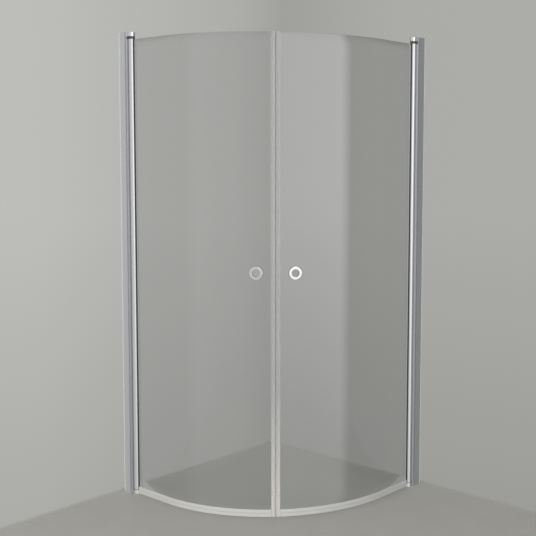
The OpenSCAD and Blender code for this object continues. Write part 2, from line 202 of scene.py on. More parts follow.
# %% Surround
ROOM_GREYS = [
    (-180, 0.32), (-160, 0.34), (-146, 0.52), (-118, 0.60), (-106, 0.78), (-49.5, 0.70),
    (-43, 1.42), (8, 1.42), (17, 0.26), (75, 0.24), (110, 0.30), (180, 0.32),
]
LOW_BRIGHT = 0.85
ROOM_LOW_GREYS = [(azimuth, min(grey, LOW_BRIGHT)) for azimuth, grey in ROOM_GREYS]
BACKDROP_GREYS = [
    (-180, 0.482), (70, 0.48), (105, 0.395), (127, 0.385),
    (133.4, 0.33), (136.2, 0.395), (148, 0.482), (180, 0.482),
]
PLAIN_GREY = 0.465
ROOM_TINT, BACKDROP_TINT = (0.995, 1.0, 1.0), (1.0, 1.003, 0.955)
# Where changes begin and end, as the Z of a ray's direction
LOW_RAYS, STEEP_RAYS, DIM_RAYS = (-0.40, -0.02), (0.42, 0.70), (-0.36, -0.06)
DIM_STRENGTH, FULL_STRENGTH = 1.70, 2.12

world = bpy.data.worlds.new("studio")
bpy.context.scene.world = world
world.use_nodes = True
room = world.node_tree


def shade(grey, tint):
    """A tinted grey, stored as half of it: a ramp's colours end at 1, and the room has brighter ones."""
    return [grey / 2 * part for part in tint]


def ring_of_greys(greys, tint):
    """A colour ramp whose positions are azimuths: minus 180 degrees lies at 0 and 180 degrees at 1."""
    ramp = room.nodes.new("ShaderNodeValToRGB")
    stops = ramp.color_ramp.elements
    while len(stops) < len(greys):
        stops.new(0.5)
    for stop, (azimuth, grey) in zip(stops, greys):
        stop.position = (azimuth + 180) / 360
    for stop, (azimuth, grey) in zip(stops, greys):
        stop.color = (*shade(grey, tint), 1)
    feed(room, ramp.inputs["Fac"], turn)
    return ramp.outputs["Color"]


ray_x, ray_y, ray_z = parts(room, place(room, "Generated"))
turn = calculate(room, "MULTIPLY_ADD", calculate(room, "ARCTAN2", ray_y, ray_x), 1 / (2 * math.pi), 0.5)
low_ring = ring_of_greys(ROOM_LOW_GREYS, ROOM_TINT)
mirrored = mix(room, step(room, ray_z, *LOW_RAYS), low_ring, ring_of_greys(ROOM_GREYS, ROOM_TINT))
steep = step(room, calculate(room, "ABSOLUTE", ray_z), *STEEP_RAYS)
backdrop_ring = ring_of_greys(BACKDROP_GREYS, BACKDROP_TINT)
backdrop = mix(room, steep, backdrop_ring, shade(PLAIN_GREY, BACKDROP_TINT))
rays = room.nodes.new("ShaderNodeLightPath").outputs
seen = calculate(room, "MAXIMUM", rays["Is Camera Ray"], rays["Is Transmission Ray"])
strength = step(room, ray_z, *DIM_RAYS, DIM_STRENGTH, FULL_STRENGTH)
set_sockets(room, room.nodes["Background"], Color=mix(room, seen, mirrored, backdrop), Strength=strength)
print(len(ROOM_GREYS), "greys in the room,", len(BACKDROP_GREYS), "in the backdrop")

# %% [markdown]
# ## The lamps
# One large soft lamp from the front right gives the pieces their shape and lays a soft shadow on the floor,
# a weaker one fills in from the left, and a small one close to the floor brightens the milky seals along
# the bottom. They would show in the glass as hard rectangles, so glossy rays don't see them: the
# reflections are the room's work. A lamp's power is its brightness times its area times pi.

# %% Lamps
# For each lamp: its place, what it points at, its size, its brightness and its colour
LAMPS = {
    "key_lamp": (Vector((3.2, -1.6, 2.4)), Vector((0, 0, 0.9)), 2.2, 1.2, (1, 1, 1)),
    "fill_lamp": (Vector((-1.8, -3.6, 2.2)), Vector((0, 0, 0.9)), 2.2, 0.9, (1, 1, 1)),
    "low_lamp": (Vector((0.7, -2.9, 0.75)), Vector((0.05, -0.4, 0.1)), 1.4, 4.6, (1, 0.965, 0.90)),
}

for name, (spot, aim, size, brightness, colour) in LAMPS.items():
    lamp = bpy.data.lights.new(name, "AREA")
    lamp.size = size
    lamp.color = colour
    lamp.energy = brightness * math.pi * size * size
    holder = bpy.data.objects.new(name, lamp)
    holder.location = spot
    holder.rotation_euler = (aim - spot).to_track_quat("-Z", "Y").to_euler()
    holder.visible_camera = False
    holder.visible_glossy = False
    holder.visible_transmission = False
    bpy.context.scene.collection.objects.link(holder)
print(len(LAMPS), "lamps")

# %% [markdown]
# ## A dark card
# The profile beside the right wall is darker than the room, because it shows the wall that it stands on.
# Photographers get such an edge on a shiny thing with a flag, a dark card just outside the picture. The
# card here goes on from the right wall's line, and has a trace of the wall's green. It reaches far below
# the floor and above the glass, or its ends would show in the doors. Only reflections see it, and it casts
# no shadow.

# %% Card
CARD_GAP, CARD_END = 0.002, 0.6
CARD_LOW, CARD_HIGH = -2.5, 4.0
CARD_GREY, CARD_TINT = 0.24, (1.0, 1.07, 1.01)

card_finish = bpy.data.materials.new("grey_card")
card_finish.use_nodes = True
tree = card_finish.node_tree
glow = set_sockets(tree, tree.nodes.new("ShaderNodeEmission"), Color=CARD_TINT, Strength=CARD_GREY)
feed(tree, tree.nodes["Material Output"].inputs["Surface"], glow.outputs["Emission"])

near, far = WALL + CARD_GAP, CARD_END
card_mesh = bpy.data.meshes.new("wall_card")
card_corners = [
    (near, near, CARD_LOW), (far, near, CARD_LOW), (far, near, CARD_HIGH), (near, near, CARD_HIGH),
]
card_mesh.from_pydata(card_corners, [], [(0, 1, 2, 3)])
card_mesh.materials.append(card_finish)
card = bpy.data.objects.new("wall_card", card_mesh)
card.visible_camera = card.visible_diffuse = card.visible_transmission = card.visible_shadow = False
bpy.context.scene.collection.objects.link(card)
print("card", round(far - near, 3), "m wide, for reflections only")

# %% [markdown]
# ## How a finish is built
# A metal or plastic surface is one Principled shader. Its plain values are set on its own sockets. What
# varies over the surface comes from noise that is read at Object coordinates, in metres, so it keeps its
# true scale on every piece. The Mapping node stretches the noise: the streaks that a die leaves on an
# extruded profile are long in Z and fine across.

# %% Finish helpers
NOISE_RANGE = (0.3, 0.7)


def set_finish(finish, **values):
    """Feeds sockets of a material's Principled shader."""
    set_sockets(finish.node_tree, finish.node_tree.nodes["Principled BSDF"], **values)


def new_finish(name, colour, roughness, **values):
    """A material with one Principled shader. Further socket values go by name, such as Metallic=1."""
    finish = bpy.data.materials.new(name)
    finish.use_nodes = True
    set_finish(finish, Base_Color=colour, Roughness=roughness, **values)
    return finish


def noise(finish, per_metre, detail=3):
    """Noise with so many bumps per metre along X, Y and Z of the piece."""
    tree = finish.node_tree
    stretch = set_sockets(tree, tree.nodes.new("ShaderNodeMapping"), Vector=place(tree), Scale=per_metre)
    texture = tree.nodes.new("ShaderNodeTexNoise")
    set_sockets(tree, texture, Vector=stretch.outputs["Vector"], Scale=1, Detail=detail)
    return texture.outputs["Fac"]


def vary_roughness(finish, value, low, high):
    """Spreads noise, which hardly leaves its range, between a low and a high roughness."""
    set_finish(finish, Roughness=step(finish.node_tree, value, *NOISE_RANGE, low, high))


def tint(finish, value, first, second):
    """Lets the colour wander between two shades."""
    set_finish(finish, Base_Color=mix(finish.node_tree, value, first, second))


def relief(finish, value, depth):
    """Raises and sinks the surface by noise, to a depth in metres."""
    tree = finish.node_tree
    bump = set_sockets(tree, tree.nodes.new("ShaderNodeBump"), Strength=1, Distance=depth, Height=value)
    set_finish(finish, Normal=bump.outputs["Normal"])


def clear_where(finish, factor, colour):
    """Where the factor is 1, the surface is an open window with a tint, which doesn't bend the light."""
    tree = finish.node_tree
    window = set_sockets(tree, tree.nodes.new("ShaderNodeBsdfTransparent"), Color=colour)
    choice = set_sockets(tree, tree.nodes.new("ShaderNodeMixShader"), Fac=factor)
    feed(tree, choice.inputs[1], tree.nodes["Principled BSDF"].outputs["BSDF"])
    feed(tree, choice.inputs[2], window.outputs["BSDF"])
    feed(tree, tree.nodes["Material Output"].inputs["Surface"], choice.outputs["Shader"])


print("finish helpers ready")

# %% [markdown]
# ## The floor
# A plain screed floor lies under the doors. A large disc is enough. It ends softly at the two walls, and
# far out it thins away into the backdrop, so there is no edge and no horizon, while the part near the
# enclosure keeps its shadow. The disc's own middle lies out in front of the seam, so places on it are
# counted from there.

# %% Floor
FLOOR, FLOOR_SPECKLE = (0.42, 0.412, 0.385), (0.375, 0.368, 0.342)
MIDDLE, FADE_FROM, FADE_TO = 0.35, 0.8, 2.1
WALL_FADE = 0.05

floor_finish = new_finish("pale_screed", FLOOR, 0.6)
tint(floor_finish, noise(floor_finish, (9, 9, 9), 6), FLOOR, FLOOR_SPECKLE)
tree = floor_finish.node_tree
on_disc = place(tree)
disc_x, disc_y, _ = parts(tree, on_disc)
behind = calculate(tree, "MAXIMUM", calculate(tree, "MULTIPLY", disc_x, -1), disc_y)
past_wall = step(tree, behind, MIDDLE + WALL, MIDDLE + WALL + WALL_FADE, rise="SMOOTHERSTEP")
far_out = step(tree, measure(tree, "LENGTH", on_disc), FADE_FROM, FADE_TO, rise="SMOOTHERSTEP")
clear_where(floor_finish, calculate(tree, "MAXIMUM", far_out, past_wall), (1, 1, 1))

middle = (MIDDLE, -MIDDLE, 0)
bpy.ops.mesh.primitive_circle_add(vertices=128, radius=FADE_TO, location=middle, fill_type="NGON")
floor = bpy.context.object
floor.name = "floor"
floor.visible_glossy = False
floor.data.materials.append(floor_finish)
print("floor fades from", FADE_FROM, "to", FADE_TO, "m")

# %% [markdown]
# ## Aluminium
# The wall and adjusting profiles are extruded aluminium with a satin anodised skin: grey, softly shiny,
# with die lines along their length. The adjusting profiles are a darker grey. The bead along a wall
# profile's edge is left blasted, so it is matt and catches the lamps where the flat beside it shows the
# room. A mask could be painted for it, but the bead lies at a known distance from the wall, so that
# distance chooses the look. The hinge tubes are the same metal polished to a bright finish.

# %% Aluminium finishes
ANODISED = (0.993, 1.0, 1.006)
SATIN, GREY_SATIN = 0.80, 0.53
BEAD_EDGE = (0.0056, 0.0052)
BEAD_LOOK = {"Base Color": (0.56, 0.56, 0.56), "Roughness": 0.65, "Metallic": 0.25}


def anodised(name, grey):
    """Satin aluminium of a shade of grey, with die lines along Z."""
    middle, dark, light = ([grey * share * part for part in ANODISED] for share in (1, 0.96, 1.04))
    finish = new_finish(name, middle, 0.33, Metallic=1)
    die_lines = noise(finish, (900, 900, 1.5), 4)
    vary_roughness(finish, die_lines, 0.28, 0.38)
    tint(finish, noise(finish, (500, 500, 0.8)), dark, light)
    relief(finish, die_lines, 0.000003)
    return finish


def blast_bead(finish):
    """Within the bead's edge, by the distance from the nearer wall, the look changes to the bead's."""
    tree = finish.node_tree
    x, y, _ = parts(tree, place(tree))
    from_left, from_right = calculate(tree, "ADD", x, WALL), calculate(tree, "SUBTRACT", WALL, y)
    on_bead = step(tree, calculate(tree, "MINIMUM", from_left, from_right), *BEAD_EDGE)
    for name, blasted in BEAD_LOOK.items():
        socket = tree.nodes["Principled BSDF"].inputs[name]
        skin = socket.links[0].from_socket if socket.is_linked else socket.default_value
        data = "RGBA" if socket.type == "RGBA" else "FLOAT"
        feed(tree, socket, mix(tree, on_bead, skin, blasted, data))


satin = anodised("satin_anodised", SATIN)
blast_bead(satin)
grey_satin = anodised("grey_satin_anodised", GREY_SATIN)

tube_finish = new_finish("polished_anodised", (0.69, 0.695, 0.70), 0.21, Metallic=1)
polish_lines = noise(tube_finish, (700, 700, 1.2))
vary_roughness(tube_finish, polish_lines, 0.24, 0.32)
tint(tube_finish, polish_lines, (0.67, 0.675, 0.68), (0.72, 0.725, 0.73))
print("aluminium:", satin.name, grey_satin.name, tube_finish.name)

# %% [markdown]
# ## Chrome, plated blocks and steel
# The grip rings are chrome-plated, so they are smoother, and only faint orange peel from the plating shows.
# A hinge block is plated as well, but only its round nose over the tube is polished: its body is blasted to
# the grey of the profile that it ends. One material does both, by the distance from the hinge axis in plan.
# The caps are metallised plastic, and the screws and pins are stainless steel with fine turning marks.

# %% Chrome and steel finishes
HINGE_AXES = {joint["child"].split("_")[0]: joint["pos_m"] for joint in frame["joints"]}
NOSE_EDGE = (0.0137, 0.0141)
NOSE, BLOCK_BODY = (0.78, 0.78, 0.79), (0.56, 0.565, 0.575)

chrome = new_finish("chrome_plate", (0.69, 0.69, 0.695), 0.06, Metallic=1)
plating = noise(chrome, (260, 260, 260), 2)
vary_roughness(chrome, plating, 0.04, 0.09)
tint(chrome, noise(chrome, (60, 60, 60)), (0.67, 0.67, 0.675), (0.71, 0.71, 0.715))
relief(chrome, plating, 0.0000015)

block_finish = new_finish("block_plate", NOSE, 0.12, Metallic=1)
tree = block_finish.node_tree
x, y, _ = parts(tree, place(tree))
in_plan = set_sockets(tree, tree.nodes.new("ShaderNodeCombineXYZ"), X=x, Y=y).outputs["Vector"]
from_axes = [measure(tree, "DISTANCE", in_plan, axis) for axis in HINGE_AXES.values()]
on_body = step(tree, calculate(tree, "MINIMUM", *from_axes), *NOSE_EDGE)
tint(block_finish, on_body, NOSE, BLOCK_BODY)
set_finish(block_finish, Roughness=mix(tree, on_body, 0.08, 0.30, "FLOAT"))
relief(block_finish, noise(block_finish, (700, 700, 700), 2), 0.000003)

cap_finish = new_finish("satin_metallised_cap", (0.76, 0.765, 0.775), 0.22, Metallic=1)
moulding = noise(cap_finish, (1400, 1400, 1400), 2)
vary_roughness(cap_finish, moulding, 0.19, 0.27)
tint(cap_finish, noise(cap_finish, (120, 120, 120)), (0.74, 0.745, 0.755), (0.80, 0.805, 0.81))
relief(cap_finish, moulding, 0.000002)

stainless = new_finish("stainless_steel", (0.62, 0.61, 0.60), 0.24, Metallic=1)
turning = noise(stainless, (300, 300, 5000), 2)
vary_roughness(stainless, turning, 0.18, 0.32)
tint(stainless, turning, (0.58, 0.575, 0.565), (0.66, 0.655, 0.645))
relief(stainless, turning, 0.000003)
print("plated and steel:", chrome.name, block_finish.name, cap_finish.name, stainless.name)

# %% [markdown]
# ## Bushes and gasket
# The bushes between tube and hinge block are black acetal. Their collars are moulded glossy, so the plastic
# has a clear coat over its slightly rougher body. The glass gasket beside the tube is matt black rubber
# with a fine, dusty grain. The magnets are flexible strips bonded in off-white rubber.

# %% Plastic and rubber finishes
acetal = new_finish("black_acetal", (0.022, 0.022, 0.023), 0.30, Coat_Weight=1, Coat_Roughness=0.12)
grain = noise(acetal, (1800, 1800, 1800), 2)
vary_roughness(acetal, grain, 0.24, 0.36)
tint(acetal, noise(acetal, (150, 150, 150)), (0.018, 0.018, 0.019), (0.030, 0.030, 0.031))
relief(acetal, grain, 0.000006)

rubber = new_finish("matt_black_rubber", (0.020, 0.020, 0.020), 0.62)
dust = noise(rubber, (1500, 1500, 120), 4)
vary_roughness(rubber, dust, 0.52, 0.74)
tint(rubber, dust, (0.036, 0.036, 0.036), (0.066, 0.065, 0.064))
relief(rubber, dust, 0.000015)

magnet_finish = new_finish("off_white_magnet_strip", (0.60, 0.60, 0.58), 0.6)
bonding = noise(magnet_finish, (900, 900, 60))
vary_roughness(magnet_finish, bonding, 0.5, 0.7)
tint(magnet_finish, bonding, (0.55, 0.55, 0.53), (0.66, 0.66, 0.64))
print("plastics:", acetal.name, rubber.name, magnet_finish.name)

# %% [markdown]
# ## Glass
# The doors are 6 mm toughened glass with a grey tint that takes about a quarter of the light, and with the
# hard coating that makes shower glass easy to clean, which mirrors a little more than plain glass. The coat
# and the high index of refraction stand for it. A path tracer loses itself in light that reaches a lamp
# through bent glass, so shadow and diffuse rays get a plain Transparent shader with the same tint, chosen
# by the Light Path node, and everything that the eye sees still goes through real glass.

# %% Glass finish
GLASS, GLASS_INDEX = (0.725, 0.73, 0.727), 1.65


def let_light_through(finish, colour):
    """Only shadow and diffuse rays meet a Transparent shader of this colour."""
    rays = finish.node_tree.nodes.new("ShaderNodeLightPath").outputs
    factor = calculate(finish.node_tree, "MAXIMUM", rays["Is Shadow Ray"], rays["Is Diffuse Ray"])
    clear_where(finish, factor, colour)


glass_finish = new_finish("grey_tinted_glass", GLASS, 0.0, IOR=GLASS_INDEX, Transmission_Weight=1)
set_finish(glass_finish, Coat_Weight=1, Coat_Roughness=0, Coat_IOR=GLASS_INDEX)
vary_roughness(glass_finish, noise(glass_finish, (2.2, 2.2, 1.1), 5), 0.0, 0.035)
relief(glass_finish, noise(glass_finish, (3, 3, 5), 1), 0.0004)
let_light_through(glass_finish, (0.95, 0.955, 0.955))
print("glass:", glass_finish.name)

# %% [markdown]
# ## Clear and white plastic
# The seam seals are clear PVC that has gone slightly milky. Low down they are painted lighter and milkier and
# let less through: a painted light that stands in for light from the floor. Where their noses meet, a painted
# shade darkens a line in the upper part, for the shade in the gap between them: it follows the distance from
# the diagonal through the corner, on which the seam lies. The sweep seals are nearly white and hardly let
# anything through, and a painted shade greys the groove between channel and fin. The washers behind the grip
# rings are clear discs.

# %% Seal finishes
DIAGONAL = (0.5 ** 0.5, 0.5 ** 0.5, 0)
LOW_LIGHT_HEIGHTS = (0.05, 0.5)
LIT_LOW_MILK, UPPER_MILK = (0.97, 0.955, 0.92), (0.82, 0.825, 0.835)
SEAM_SHADE_SPAN, SEAM_SHADE_GREY = (0.0013, 0.0022), 0.55

seal_finish = new_finish("milky_clear_pvc", (0.82, 0.82, 0.81), 0.15, IOR=1.5, Transmission_Weight=0.86)
vary_roughness(seal_finish, noise(seal_finish, (40, 40, 5), 2), 0.12, 0.18)
tree = seal_finish.node_tree
seal_place = place(tree)
# Painted light: lower down the colour turns lighter and the seal lets less through, for light from the floor.
up_from_floor = step(tree, parts(tree, seal_place)["Z"], *LOW_LIGHT_HEIGHTS)
off_seam = calculate(tree, "ABSOLUTE", measure(tree, "DOT_PRODUCT", seal_place, DIAGONAL))
# Painted shade: near the seam's diagonal the colour is darkened, for the shade in the gap between the noses,
# except low down.
seam_shade = step(tree, off_seam, *SEAM_SHADE_SPAN, SEAM_SHADE_GREY, 1)
milk_with_low_light = mix(tree, up_from_floor, LIT_LOW_MILK, UPPER_MILK)
set_finish(seal_finish, Base_Color=mix(tree, up_from_floor, milk_with_low_light, seam_shade, way="MULTIPLY"))
set_finish(seal_finish, Transmission_Weight=mix(tree, up_from_floor, 0.72, 0.86, "FLOAT"))
let_light_through(seal_finish, (0.75, 0.75, 0.75))

GROOVE_TOP, GROOVE_BOTTOM = (0.0172, 0.0188), (0.0160, 0.0142)
GROOVE_SHADE, WHITE_PVC = (0.43, 0.426, 0.418), (0.52, 0.515, 0.505)

sweep_finish = new_finish("milky_white_pvc", WHITE_PVC, 0.45, IOR=1.5)
vary_roughness(sweep_finish, noise(sweep_finish, (60, 60, 90), 2), 0.40, 0.50)
tree = sweep_finish.node_tree
height = parts(tree, place(tree))["Z"]
above_groove, below_groove = step(tree, height, *GROOVE_TOP), step(tree, height, *GROOVE_BOTTOM)
# Painted shade: a greyer band between these heights darkens the groove between channel and fin.
tint(sweep_finish, calculate(tree, "MAXIMUM", above_groove, below_groove), GROOVE_SHADE, WHITE_PVC)
let_light_through(sweep_finish, (0.5, 0.5, 0.5))

washer_finish = new_finish("clear_washer_disc", (0.88, 0.88, 0.87), 0.18, IOR=1.46, Transmission_Weight=0.85)
vary_roughness(washer_finish, noise(washer_finish, (500, 500, 500)), 0.12, 0.26)
let_light_through(washer_finish, (0.8, 0.8, 0.8))
print("plastics:", seal_finish.name, sweep_finish.name, washer_finish.name)

# %% [markdown]
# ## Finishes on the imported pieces
# A node's name tells what it is, so a short table from the end of the name to the finish dresses both sides
# at once.

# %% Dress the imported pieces
FINISH_OF = {
    "wall_profile": satin,
    "adjusting_profile": grey_satin,
    "profile_cap": cap_finish,
    "hinge_tube": tube_finish,
    "hinge_block": block_finish,
    "screws": stainless,
    "pin": stainless,
    "bush": acetal,
    "gasket": rubber,
    "seam_magnet": magnet_finish,
    "glass": glass_finish,
    "seam_seal": seal_finish,
    "sweep_seal": sweep_finish,
    "washers": washer_finish,
    "ring": chrome,
}

dressed = 0
for name, node in nodes.items():
    finish = next(f for end, f in FINISH_OF.items() if name.endswith(end))
    for slot in node.material_slots:
        slot.material = finish
    dressed += 1
print(dressed, "nodes dressed")

# %% [markdown]
# ## The door's path
# Seen from above, a door runs straight from its hinge and then round an eighth of a circle to the seam.
# Glass and seals all follow this one line, so it becomes a function: s is the distance along the glass from
# the hinge axis, and out is the distance out of the shower from the middle of the glass. The bend's own
# middle lies on the diagonal through the corner. The right door is the left one mirrored in that diagonal,
# which swaps x and y and changes both signs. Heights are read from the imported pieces, so both models agree.

# %% Path of the glass
MM = 0.001
BEND_R = 620 * MM
AXIS_X, AXIS_Y, _ = HINGE_AXES["left"]
BEND_Y = AXIS_Y + BEND_R
BEND_X = -BEND_Y
STRAIGHT = BEND_X - AXIS_X
SEAM = STRAIGHT + BEND_R * math.pi / 4
SIDES = ("left", "right")


def along_glass(side, s, out, z):
    """Points beside the glass. Up to STRAIGHT, x grows with s. Beyond it the angle grows by s over the
    radius, x by the sine and y by one minus the cosine, both times the radius plus out."""
    s, out, z = np.broadcast_arrays(s, out, z)
    angle = np.maximum(s - STRAIGHT, 0) / BEND_R
    x = AXIS_X + np.minimum(s, STRAIGHT) + (BEND_R + out) * np.sin(angle)
    y = BEND_Y - (BEND_R + out) * np.cos(angle)
    return np.stack([x, y, z] if side == "left" else [-y, -x, z], -1)


def heights(node):
    """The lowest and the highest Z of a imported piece, to the micrometre."""
    return [round(corner.z, 6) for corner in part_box(node)]


print("hinge axis to seam:", round(SEAM / MM, 2), "mm; seam at", along_glass("left", SEAM, 0, 0).round(4))

# %% [markdown]
# ## Surfaces from grids
# Every new piece is a grid of points. One helper numbers the corners of the grid's faces, and another puts
# points and faces into a mesh, merges the doubles and turns the faces outwards. The merged mesh must be
# closed, and its volume is printed, because a wrong sign or a hole shows there at once.

# %% Grid helpers
def grid_faces(rows, columns, closed_rows=False, closed_columns=False):
    """Four corner numbers for each face of a grid, which may close on itself in either direction."""
    row = np.arange(rows if closed_rows else rows - 1)[:, None]
    column = np.arange(columns if closed_columns else columns - 1)[None, :]
    next_row, next_column = (row + 1) % rows, (column + 1) % columns
    corners = [row * columns + column, next_row * columns + column,
               next_row * columns + next_column, row * columns + next_column]
    return np.stack(corners, -1).reshape(-1, 4)


def make_piece(name, points, faces, finish, sharp=35):
    """A mesh object from points and faces. Doubles are merged, faces turn outwards, and edges whose faces
    meet at more than an angle in degrees are sharp."""
    mesh = bpy.data.meshes.new(name)
    mesh.from_pydata(np.reshape(points, (-1, 3)).tolist(), [], faces)
    work = bmesh.new()
    work.from_mesh(mesh)
    bmesh.ops.remove_doubles(work, verts=work.verts, dist=1e-7)
    bmesh.ops.recalc_face_normals(work, faces=work.faces)
    work.to_mesh(mesh)
    work.free()
    mesh.shade_smooth()
    mesh.set_sharp_from_angle(angle=math.radians(sharp))
    mesh.materials.append(finish)
    piece = bpy.data.objects.new(name, mesh)
    bpy.context.scene.collection.objects.link(piece)
    return piece


def report(piece):
    """Prints the volume, the number of faces and whether the shell is closed, modifiers included."""
    shell = bmesh.new()
    shell.from_object(piece, bpy.context.evaluated_depsgraph_get())
    closed = all(edge.is_manifold for edge in shell.edges)
    volume = round(shell.calc_volume(signed=True) * 1e6, 2)
    print(piece.name, volume, "cm3,", len(shell.faces), "faces, closed:", closed)
    shell.free()


def stand_for(piece, node):
    """The new piece takes a node's place: it rides on the node's body."""
    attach(piece, nodes[node]["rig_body"])
    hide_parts(node)
    report(piece)


print("grid of 3 x 4 points has", len(grid_faces(3, 4)), "faces")

# %% [markdown]
# ## The glass
# Each pane is one sheet of bent glass with a round hole for the grip, and its edges are ground to a small
# arris that catches the light. A boolean cut would leave long thin triangles round the hole. Instead the
# sheet is a grid with a square window, and a second grid fills the window: its rows run from the circle to
# the square, so every face near the hole is neat. Solidify then gives the thickness, and Bevel grinds the
# arris.

# %% Glass panes
GLASS_FROM, GLASS_TO = 7.3 * MM, SEAM - 6.25 * MM
GLASS_LOW, GLASS_HIGH = heights("left_glass")
GLASS_THICK = 5.9 * MM
HOLE_S, HOLE_Z, HOLE_R = SEAM - 75 * MM, sum(heights("left_grip_outer_ring")) / 2, 18.6 * MM
WINDOW, STEPS = 36 * MM, 12
ARRIS = 0.5 * MM


def stations(*stops):
    """Even steps from stop to stop. A stop is a position and the number of steps that lead to it."""
    runs = [np.linspace(a, b, n + 1)[:-1] for (a, _), (b, n) in zip(stops, stops[1:])]
    return np.concatenate([*runs, [stops[-1][0]]])


def pane_grid(side):
    """The sheet without its window, as a grid over s and z."""
    beside_hole = ((HOLE_S - WINDOW, 66), (HOLE_S + WINDOW, 2 * STEPS))
    s = stations((GLASS_FROM, 0), (STRAIGHT, 6), *beside_hole, (GLASS_TO, 6))
    z = stations((GLASS_LOW, 0), (HOLE_Z - WINDOW, 20), (HOLE_Z + WINDOW, 2 * STEPS), (GLASS_HIGH, 20))
    points = along_glass(side, s[:, None], 0, z[None, :])
    faces = grid_faces(len(s), len(z))
    middle_s = (s[:-1] + s[1:])[:, None] / 2
    middle_z = (z[:-1] + z[1:])[None, :] / 2
    outside = (abs(middle_s - HOLE_S) > WINDOW) | (abs(middle_z - HOLE_Z) > WINDOW)
    return points.reshape(-1, 3), faces[outside.ravel()]


def window_grid(side, rings=6):
    """The window's ring: a point on the square is pulled straight towards the circle, ring by ring. The rings
    stand closer near the circle, because their share of the way grows by the power of 1.3."""
    edge = np.linspace(-1, 1, 2 * STEPS + 1)[:-1]
    one = np.ones_like(edge)
    square_sides = ((edge, -one), (one, edge), (-edge, one), (-one, -edge))
    square = np.concatenate([np.stack(side_points, -1) for side_points in square_sides])
    circle = square / np.linalg.norm(square, axis=1, keepdims=True)
    share = np.linspace(0, 1, rings + 1)[:, None, None] ** 1.3
    flat = (1 - share) * HOLE_R * circle + share * WINDOW * square
    points = along_glass(side, HOLE_S + flat[..., 0], 0, HOLE_Z + flat[..., 1])
    return points.reshape(-1, 3), grid_faces(rings + 1, len(square), closed_columns=True)


for side in SIDES:
    sheet, sheet_faces = pane_grid(side)
    ring, ring_faces = window_grid(side)
    used, sheet_faces = np.unique(sheet_faces, return_inverse=True)
    sheet_faces = sheet_faces.reshape(-1, 4)
    sheet = sheet[used]
    pane = make_piece(
        f"{side}_bent_pane",
        np.concatenate([sheet, ring]),
        np.concatenate([sheet_faces, ring_faces + len(sheet)]).tolist(),
        glass_finish,
    )
    wall = pane.modifiers.new("thickness", "SOLIDIFY")
    wall.thickness, wall.offset = GLASS_THICK, 0
    arris = pane.modifiers.new("arris", "BEVEL")
    arris.width, arris.segments = ARRIS, 2
    arris.limit_method, arris.angle_limit = "ANGLE", math.radians(40)
    stand_for(pane, f"{side}_glass")

# %% [markdown]
# ## Rounded sections
# Seals and rings are known by their section, and no edge of a real one is sharp. A section is drawn here
# with plain corners and a radius for each, and one function turns every corner into an arc: it steps back
# from the corner along both edges by the radius over the tangent of half the angle, and swings from one
# point to the other.

# %% Corner rounding
def rounded(corners, radii, steps=5):
    """A closed outline as one array of points, with each corner replaced by an arc of its radius."""
    p, r = np.array(corners, float), np.array(radii, float)[:, None]
    back, ahead = np.roll(p, 1, 0) - p, np.roll(p, -1, 0) - p
    back /= np.linalg.norm(back, axis=1, keepdims=True)
    ahead /= np.linalg.norm(ahead, axis=1, keepdims=True)
    half = np.arccos(np.clip((back * ahead).sum(1), -1, 1))[:, None] / 2
    middle = back + ahead
    centre = p + middle / np.linalg.norm(middle, axis=1, keepdims=True) * r / np.sin(half)
    first, last = p + back * r / np.tan(half) - centre, p + ahead * r / np.tan(half) - centre
    start = np.arctan2(first[:, 1], first[:, 0])
    swing = np.arctan2(last[:, 1], last[:, 0]) - start
    swing = (swing + np.pi) % (2 * np.pi) - np.pi
    angle = start[:, None] + swing[:, None] * np.linspace(0, 1, steps + 1)
    arc = centre[:, None] + r[:, :, None] * np.stack([np.cos(angle), np.sin(angle)], -1)
    return arc.reshape(-1, 2)


print("a rounded square has", len(rounded([(0, 0), (1, 0), (1, 1), (0, 1)], [0.1] * 4)), "points")

# %% [markdown]
# ## The sweep seals
# A clear channel grips the glass's lower edge. A long fin hangs from its outer side and a short one from
# below, and they keep the water in. The seal is extruded, so it is its section carried along the door. The
# long fin is soft and never hangs quite straight: it waves by a third of a millimetre, most at its tip.

# %% Sweep seals
GRIP = GLASS_THICK / 2 + 0.05 * MM
SEAL_HALF = 4.4 * MM
FIN_TIP, LIP_TOP = heights("left_sweep_seal")
CHANNEL_FLOOR, CHANNEL_LOW = 18.95 * MM, 17.8 * MM
FIN_BEND, SHORT_FIN_TIP, STEP_BACK = 8.3 * MM, 6.7 * MM, 3.8 * MM
FIN_WAVE = 0.3 * MM
lip, corner, inner = 0.5 * MM, 0.35 * MM, 0.15 * MM

# Each corner: the distance out of the shower, the height and the radius
outer_side = [
    (SEAL_HALF, LIP_TOP, lip), (SEAL_HALF, CHANNEL_LOW, corner), (STEP_BACK, CHANNEL_LOW - 0.9 * MM, inner),
    (STEP_BACK, CHANNEL_LOW - 1.5 * MM, inner), (4.9 * MM, CHANNEL_LOW - 2.9 * MM, corner),
]
long_fin = [
    (4.9 * MM, FIN_BEND, inner), (4.6 * MM, FIN_TIP, corner), (3.5 * MM, FIN_TIP, corner),
    (3.8 * MM, FIN_BEND, inner), (2.0 * MM, CHANNEL_LOW - 0.6 * MM, inner),
]
short_fin = [
    (-1.1 * MM, CHANNEL_LOW, inner), (-1.7 * MM, SHORT_FIN_TIP, inner), (-2.4 * MM, SHORT_FIN_TIP, inner),
    (-2.2 * MM, CHANNEL_LOW, inner),
]
inner_side = [(-SEAL_HALF, CHANNEL_LOW, corner), (-SEAL_HALF, LIP_TOP, lip)]
channel = [
    (-GRIP, LIP_TOP, inner), (-GRIP, CHANNEL_FLOOR, inner),
    (GRIP, CHANNEL_FLOOR, inner), (GRIP, LIP_TOP, inner),
]
sweep_corners = np.array(outer_side + long_fin + short_fin + inner_side + channel)
sweep_section = rounded(sweep_corners[:, :2], sweep_corners[:, 2])


